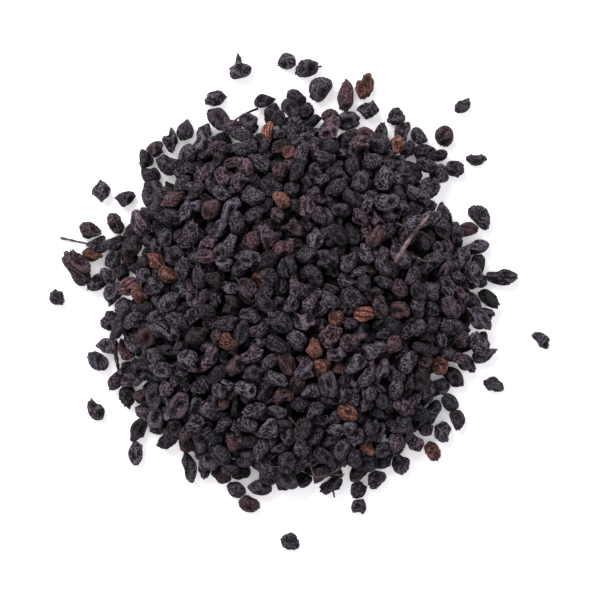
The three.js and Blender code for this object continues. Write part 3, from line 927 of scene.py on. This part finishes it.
# Each skin: a near black that is painted shade in creases, its middle colour, a ridge colour that is partly
# dusty bloom and partly painted highlight, its dust, and its gloss
SKINS = {
    "black": skin_material("black berry skin", linear(1, 0, 4), linear(27, 17, 28), linear(115, 107, 118),
                           linear(146, 138, 145), 0.0),
    "red": skin_material("red berry skin", linear(12, 4, 6), linear(68, 45, 49), linear(130, 98, 102),
                         linear(132, 108, 104), 0.05),
    "brown": skin_material("brown berry skin", linear(20, 8, 8), linear(86, 55, 49), linear(172, 118, 102),
                           linear(178, 140, 128), 0.05),
}


def stalk_material():
    n = Nodes("dried stalk")
    place = n.add("TexCoord").outputs["Object"]
    patch = n.noise(place, 260.0, 1.0)
    streak = n.noise(place, 1300.0, 4.0)
    fleck = n.noise(place, 4000.0, 3.0)
    level = n.math("ADD", n.spread(streak, 0.3, 0.7), n.spread(patch, 0.35, 0.65))
    colour = n.ramp(n.spread(level, 0.4, 1.7), [
        (0.0, linear(60, 38, 41)), (0.5, linear(106, 85, 93)), (1.0, linear(182, 141, 141)),
    ])
    colour = n.mix(n.spread(fleck, 0.55, 0.8), colour, linear(60, 44, 48))
    colour = n.toned(colour, n.attribute("tone"), [(0.0, grey(0.3)), (1.0, grey(1.0))])
    bump = n.add("Bump", {"Height": fleck, "Strength": 0.5, "Distance": 0.00008})
    bark = n.add("BsdfPrincipled", {"Base Color": colour, "Roughness": 0.7, "Normal": bump.outputs[0]})
    return n.finish(bark.outputs[0])


STALK = stalk_material()


def floor_material():
    """White paper under soft light. The camera sees it a little brighter than it lights the berries, but
    less so close round them, which is painted shade.
    """
    n = Nodes("white floor")
    path = n.add("LightPath")
    sharp = n.math("MAXIMUM", path.outputs["Is Camera Ray"], path.outputs["Is Glossy Ray"])
    seen = n.math("MAXIMUM", sharp, path.outputs["Is Transmission Ray"])
    paper = n.add("BsdfDiffuse", {"Color": (0.88, 0.86, 0.89, 1.0)})
    # painted shade: the glow fades where berries close round the floor
    sky = n.add("AmbientOcclusion", {"Distance": 0.006}, samples=8).outputs["AO"]
    strength = n.math("MULTIPLY", n.math("MULTIPLY", seen, 0.64), n.spread(sky, 0.0, 0.34))
    glow = n.add("Emission", {"Color": (0.98, 0.95, 0.98, 1.0), "Strength": strength})
    both = n.add("AddShader", {0: paper.outputs[0], 1: glow.outputs[0]})
    return n.finish(both.outputs[0])


# ---- pieces --------------------


def new_object(name, data):
    """An object in the scene."""
    made = bpy.data.objects.new(name, data)
    bpy.context.scene.collection.objects.link(made)
    return made


def mesh_piece(name, points, triangles, values, materials, chosen, slot, nodes):
    """A smooth mesh object in metres that rides on the part and stands for its solids."""
    mesh = bpy.data.meshes.new(name)
    mesh.from_pydata(points * MM, [], triangles)
    mesh.polygons.foreach_set("material_index", np.asarray(chosen, np.int32))
    for key, numbers in values.items():
        attribute = mesh.attributes.new(key, "FLOAT", "POINT")
        attribute.data.foreach_set("value", np.asarray(numbers, np.float32))
    for material in materials:
        mesh.materials.append(material)
    mesh.shade_smooth()
    mesh.validate()
    piece = new_object(name, mesh)
    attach(piece, "root")
    if nodes:
        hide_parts(*nodes)
    return piece


def thin(piece, share):
    """Leaves a piece that share of its triangles, most of them where its skin is folded."""
    modifier = piece.modifiers.new("fewer triangles", "DECIMATE")
    modifier.ratio = share
    depsgraph = bpy.context.evaluated_depsgraph_get()
    mesh = bpy.data.meshes.new_from_object(piece.evaluated_get(depsgraph), depsgraph=depsgraph)
    piece.modifiers.clear()
    piece.data = mesh


def joined(parts):
    """The points and triangles of several meshes as those of one."""
    starts = np.cumsum([0] + [len(points) for points, _ in parts])
    triangles = [faces + start for (_, faces), start in zip(parts, starts)]
    return np.concatenate([points for points, _ in parts]), np.concatenate(triangles)


SLOTS = {row["node"]: row["material_slot"] for row in frame["record"]["subparts"]}
HUES = ["black", "red", "brown"]
# open carries the painted shade between berries and the painted light on the top ones
FINISH = ["fine", "broad", "open", "tone", "tint", "grain"]


def berries_piece(name, berries, slot, nodes, share=1.0):
    """Several berries as one piece, each with its own finish, with that share of their triangles."""
    faces = [ball_of(berry.parts).triangles for berry in berries]
    points, triangles = joined([(berry.points, some) for berry, some in zip(berries, faces)])
    values = {
        key: np.concatenate([np.broadcast_to(getattr(berry, key), len(berry.points)) for berry in berries])
        for key in FINISH
    }
    materials = [SKINS[hue] for hue in HUES]
    chosen = np.repeat([HUES.index(berry.hue) for berry in berries], [len(some) for some in faces])
    piece = mesh_piece(name, points, triangles, values, materials, chosen, slot, nodes)
    if share < 1:
        thin(piece, share)


def smooth_line(stops, steps):
    """A smooth line through [x, y, z, radius] points."""
    stops = np.array(stops, float)
    padded = np.concatenate([[2 * stops[0] - stops[1]], stops, [2 * stops[-1] - stops[-2]]])
    line = []
    for k in range(len(stops) - 1):
        a, b, c, d = padded[k:k + 4]
        for t in np.arange(steps) / steps:
            line.append(0.5 * (2 * b + (c - a) * t + (2 * a - 5 * b + 4 * c - d) * t**2
                               + (3 * b - a - 3 * c + d) * t**3))
    line.append(stops[-1])
    return np.array(line)


def stalk_mesh(stops, sides, steps):
    """The points and triangles of a dried bit of stalk with ribs along it and swellings."""
    line = smooth_line(stops, steps)
    along = unit(np.gradient(line[:, :3], axis=0))
    side = np.cross(along, [0.0, 0.0, 1.0])
    side /= np.maximum(np.linalg.norm(side, axis=1, keepdims=True), 1e-6)
    up = np.cross(side, along)
    turn = 2 * math.pi * np.arange(sides) / sides
    ribs = 1 + STALK_RIBS * np.cos(3 * turn)[None] + STALK_ROUGHNESS * chance.normal(size=(len(line), sides))
    swell = 1 + STALK_SWELLINGS * np.sin(np.arange(len(line)) * 0.9 + chance.uniform(0, 6))
    radius = line[:, 3] * swell
    radius[[0, -1]] *= STALK_END
    rings = (line[:, None, :3] + (radius[:, None] * ribs * np.cos(turn))[:, :, None] * side[:, None]
             + (radius[:, None] * ribs * np.sin(turn))[:, :, None] * up[:, None])
    first = line[0, :3] - along[0] * line[0, 3] * STALK_TIP
    last = line[-1, :3] + along[-1] * line[-1, 3] * STALK_TIP
    points = np.concatenate([[first], rings.reshape(-1, 3), [last]])
    triangles = []
    end = 1 + (len(line) - 1) * sides
    for i in range(sides):
        j = (i + 1) % sides
        triangles.append((0, 1 + i, 1 + j))
        triangles.append((end + j, end + i, len(points) - 1))
        for k in range(len(line) - 1):
            low, high = 1 + k * sides, 1 + (k + 1) * sides
            triangles.append((low + j, low + i, high + j))
            triangles.append((high + j, low + i, high + i))
    points[:, 2] = np.maximum(points[:, 2], CLEARANCE)
    return points, np.array(triangles)


def stalks_piece(name, routes, nodes, tone, sides, steps):
    """Bits of stalk as one piece."""
    points, triangles = joined([stalk_mesh(stops, sides, steps) for stops in routes])
    values = {"tone": np.full(len(points), tone)}
    mesh_piece(name, points, triangles, values, [STALK], np.zeros(len(triangles)), "stalk", nodes)


def lying(stops, berries):
    """A fine stalk set down on the berries: each of its points as high as the highest berry close to it."""
    points = np.concatenate([berry.points for berry in berries])
    laid = []
    for x, y, _, radius in stops:
        near = np.hypot(points[:, 0] - x, points[:, 1] - y) < PERCH
        laid.append([x, y, points[near, 2].max() + radius * 0.5, radius])
    return laid


def stub(berry):
    """A stub of stalk on a berry's stalk end."""
    way = berry.turn @ np.array([1.0, *chance.normal(0, 0.25, 2)])
    way /= np.linalg.norm(way)
    start = berry.centre + way * berry.r * berry.shares[0] * 0.9
    length = chance.uniform(*STUB_LENGTHS)
    bend = start + way * length * 0.5 + chance.normal(0, 0.08, 3)
    thick = chance.uniform(*STUB_RADII)
    return [[*start, thick * 1.3], [*bend, thick], [*(start + way * length), thick * 1.2]]


# ---- the object --------------------


def choose_kind():
    names = list(KINDS)
    shares = np.array([KINDS[name][0] for name in names])
    return names[chance.choice(len(names), p=shares / shares.sum())]


def heap_shares():
    """A heap berry's half length, width and height over its mean radius: round, long or flat."""
    return np.array(SHARES) * chance.uniform([0.92, 0.88, 0.84], [1.20, 1.05, 1.04])


def listed_berry(entry, node, parts, kind):
    """A berry with a solid of its own, at its solid's middle."""
    low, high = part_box(node)
    x, y, length, width, heading = entry
    r = (length + 2 * width) / 6
    shares = (length / 2 / r, width / 2 / r, width / 2 / r)
    middle_height = (low.z + high.z) / 2 / MM
    turn = turned(chance.uniform(0, 2 * math.pi), 0, math.radians(heading))
    return Berry((x, y, middle_height), r, turn, shares, kind, SLOTS[node].split("_")[0], parts, fitted=True)


heap_balls, heap_turns = poured_heap()
heap = [Berry(ball[:3], ball[3] * SHRUNK, turn, heap_shares(), choose_kind(), "black", COARSE)
        for ball, turn in zip(heap_balls, heap_turns)]
loose = [listed_berry(entry, f"loose_berry_{k + 1}", FINEST, LOOSE_KINDS.get(k + 1, choose_kind()))
         for k, entry in enumerate(LOOSE)]
top = [listed_berry(entry, f"top_berry_{k + 1}", FINE, TOP_KINDS.get(k + 1, choose_kind()))
       for k, entry in enumerate(COLOURED)]

everything = heap + loose + top
seen, top_heights = seen_from_above(everything)
crown, filling, underside = [], [], []
sectors = [[] for _ in range(SECTORS)]
for berry, share in zip(heap, seen):
    x, y, z = berry.centre
    if share > GLIMPSED:
        berry.parts = FINE if share > SHOWN else MIDDLE
        sector = int((math.atan2(y, x) / (2 * math.pi) + 1) * SECTORS) % SECTORS
        group = crown if math.hypot(x, y) < CROWN_RADIUS else sectors[sector]
    elif z < LOW * berry.r:
        berry.parts = UNDERSIDE
        group = underside
    else:
        group = filling
    group.append(berry)

shown = [n for n, share in enumerate(seen[: len(heap)]) if share > SHOWN]
for hue, spots in ACCENTS.items():
    for x, y in spots:
        nearest = min(shown, key=lambda n: math.hypot(heap[n].centre[0] - x, heap[n].centre[1] - y))
        heap[nearest].hue = hue

for berry, share in zip(everything, seen):
    # painted shade: a berry that hardly shows from above is darker
    tone = chance.normal(*TONES) - BURIED_PAINTED_SHADE * max(0, 1 - share / HALF_SHOWN)
    berry.tone = np.clip(tone, LISTED_LEAST_TONE if berry.fitted else LEAST_TONE, 1)
    berry.tint = np.clip(chance.normal(*TINTS), 0, 1 if berry.hue == "black" else COLOURED_MOST_TINT)

for berries, tones in ((top, TOP_TONES), (loose, LOOSE_TONES)):
    for number, tone in tones.items():
        berries[number - 1].tone = tone
for number, tint in TOP_TINTS.items():
    top[number - 1].tint = tint

shape(everything)
for k, berry in enumerate(loose):
    for azimuth, limit in FLATS.get(k + 1, []):
        berry.points = flattened(berry.points, berry.centre, level_way(azimuth), limit)
    for azimuth, reach, width in POINTS.get(k + 1, []):
        berry.points = pointed(berry.points, berry.centre, azimuth, reach, width)
press_together(everything)
for berry in loose:
    berry.points[:, 2] -= berry.points[:, 2].min() - RESTING
painted_shade_shares(everything, top_heights)

heap_piece = functools.partial(berries_piece, slot=SLOTS["heap"], nodes=["heap"])
heap_piece("heap_berries_crown", crown, share=HEAP_TRIANGLES)
for k, members in enumerate(sectors):
    heap_piece(f"heap_berries_side_{k + 1}", members, share=HEAP_TRIANGLES)
heap_piece("heap_berries_inside", filling)
heap_piece("heap_berries_underneath", underside)
for group, prefix in ((loose, "loose_berry"), (top, "top_berry")):
    for k, berry in enumerate(group):
        node = f"{prefix}_{k + 1}"
        berries_piece(f"{node}_skin", [berry], SLOTS[node], [node], LISTED_TRIANGLES)
for name, stops in STALKS.items():
    stalks_piece(f"{name}_bark", [stops], [name], STALK_TONES[name], *BARK_CUTS)
stubs = [stub(heap[n]) for n in shown if heap[n].turn[2, 0] > STUB_FACING and chance.uniform() < STUB_SHARE]
stalks_piece("pedicels", PEDICELS + stubs, [], PEDICEL_TONE, *PEDICEL_CUTS)
pale = [lying(stops, everything) for stops in PALE_PEDICELS]
stalks_piece("pale_pedicels", pale, [], PALE_PEDICEL_TONE, *PEDICEL_CUTS)


# ---- floor, light, camera --------------------


def plane(name, size, material):
    mesh = bpy.data.meshes.new(name)
    half = size / 2
    corners = [(-half, -half, 0), (half, -half, 0), (half, half, 0), (-half, half, 0)]
    mesh.from_pydata(corners, [], [(0, 1, 2, 3)])
    mesh.materials.append(material)
    return new_object(name, mesh)


FLOOR_SIZE = 6.0
CAMERA_HEIGHT = 0.6
FIELD = 0.120  # the width of floor that the camera sees
SENSOR = 36.0
SKY_COLOUR = (0.96, 0.98, 1.0, 1.0)
SKY_STRENGTH = 0.21
SOFTBOX_SIZE = 0.6
WARM = (1.0, 0.985, 0.97)
COOL = (0.98, 0.99, 1.0)
# Soft lights round the object: place, power and colour
SOFTBOXES = {
    "softbox_key": [(-0.40, 0.62, 0.72), 9.4, WARM],
    "softbox_right": [(0.82, 0.25, 0.55), 2.3, COOL],
    "softbox_left": [(-0.85, -0.25, 0.5), 2.2, COOL],
    "softbox_front": [(0.15, -0.85, 0.5), 0.7, COOL],
}

plane("floor", FLOOR_SIZE, floor_material())

scene = bpy.context.scene
camera_data = bpy.data.cameras.new("camera")
camera_data.sensor_width = SENSOR
camera_data.lens = SENSOR * CAMERA_HEIGHT / FIELD
camera_data.clip_start = 0.01
camera = new_object("camera", camera_data)
camera.location = (0, 0, CAMERA_HEIGHT)
scene.camera = camera

world = bpy.data.worlds.new("studio")
world.use_nodes = True
sky = world.node_tree.nodes["Background"]
sky.inputs["Color"].default_value = SKY_COLOUR
sky.inputs["Strength"].default_value = SKY_STRENGTH
scene.world = world

for name, (place, power, colour) in SOFTBOXES.items():
    light = bpy.data.lights.new(name, "AREA")
    light.shape = "SQUARE"
    light.size = SOFTBOX_SIZE
    light.energy = power
    light.color = colour
    softbox = new_object(name, light)
    softbox.location = place
    softbox.rotation_euler = (-softbox.location).to_track_quat("-Z", "Y").to_euler()

scene.view_settings.view_transform = "Standard"
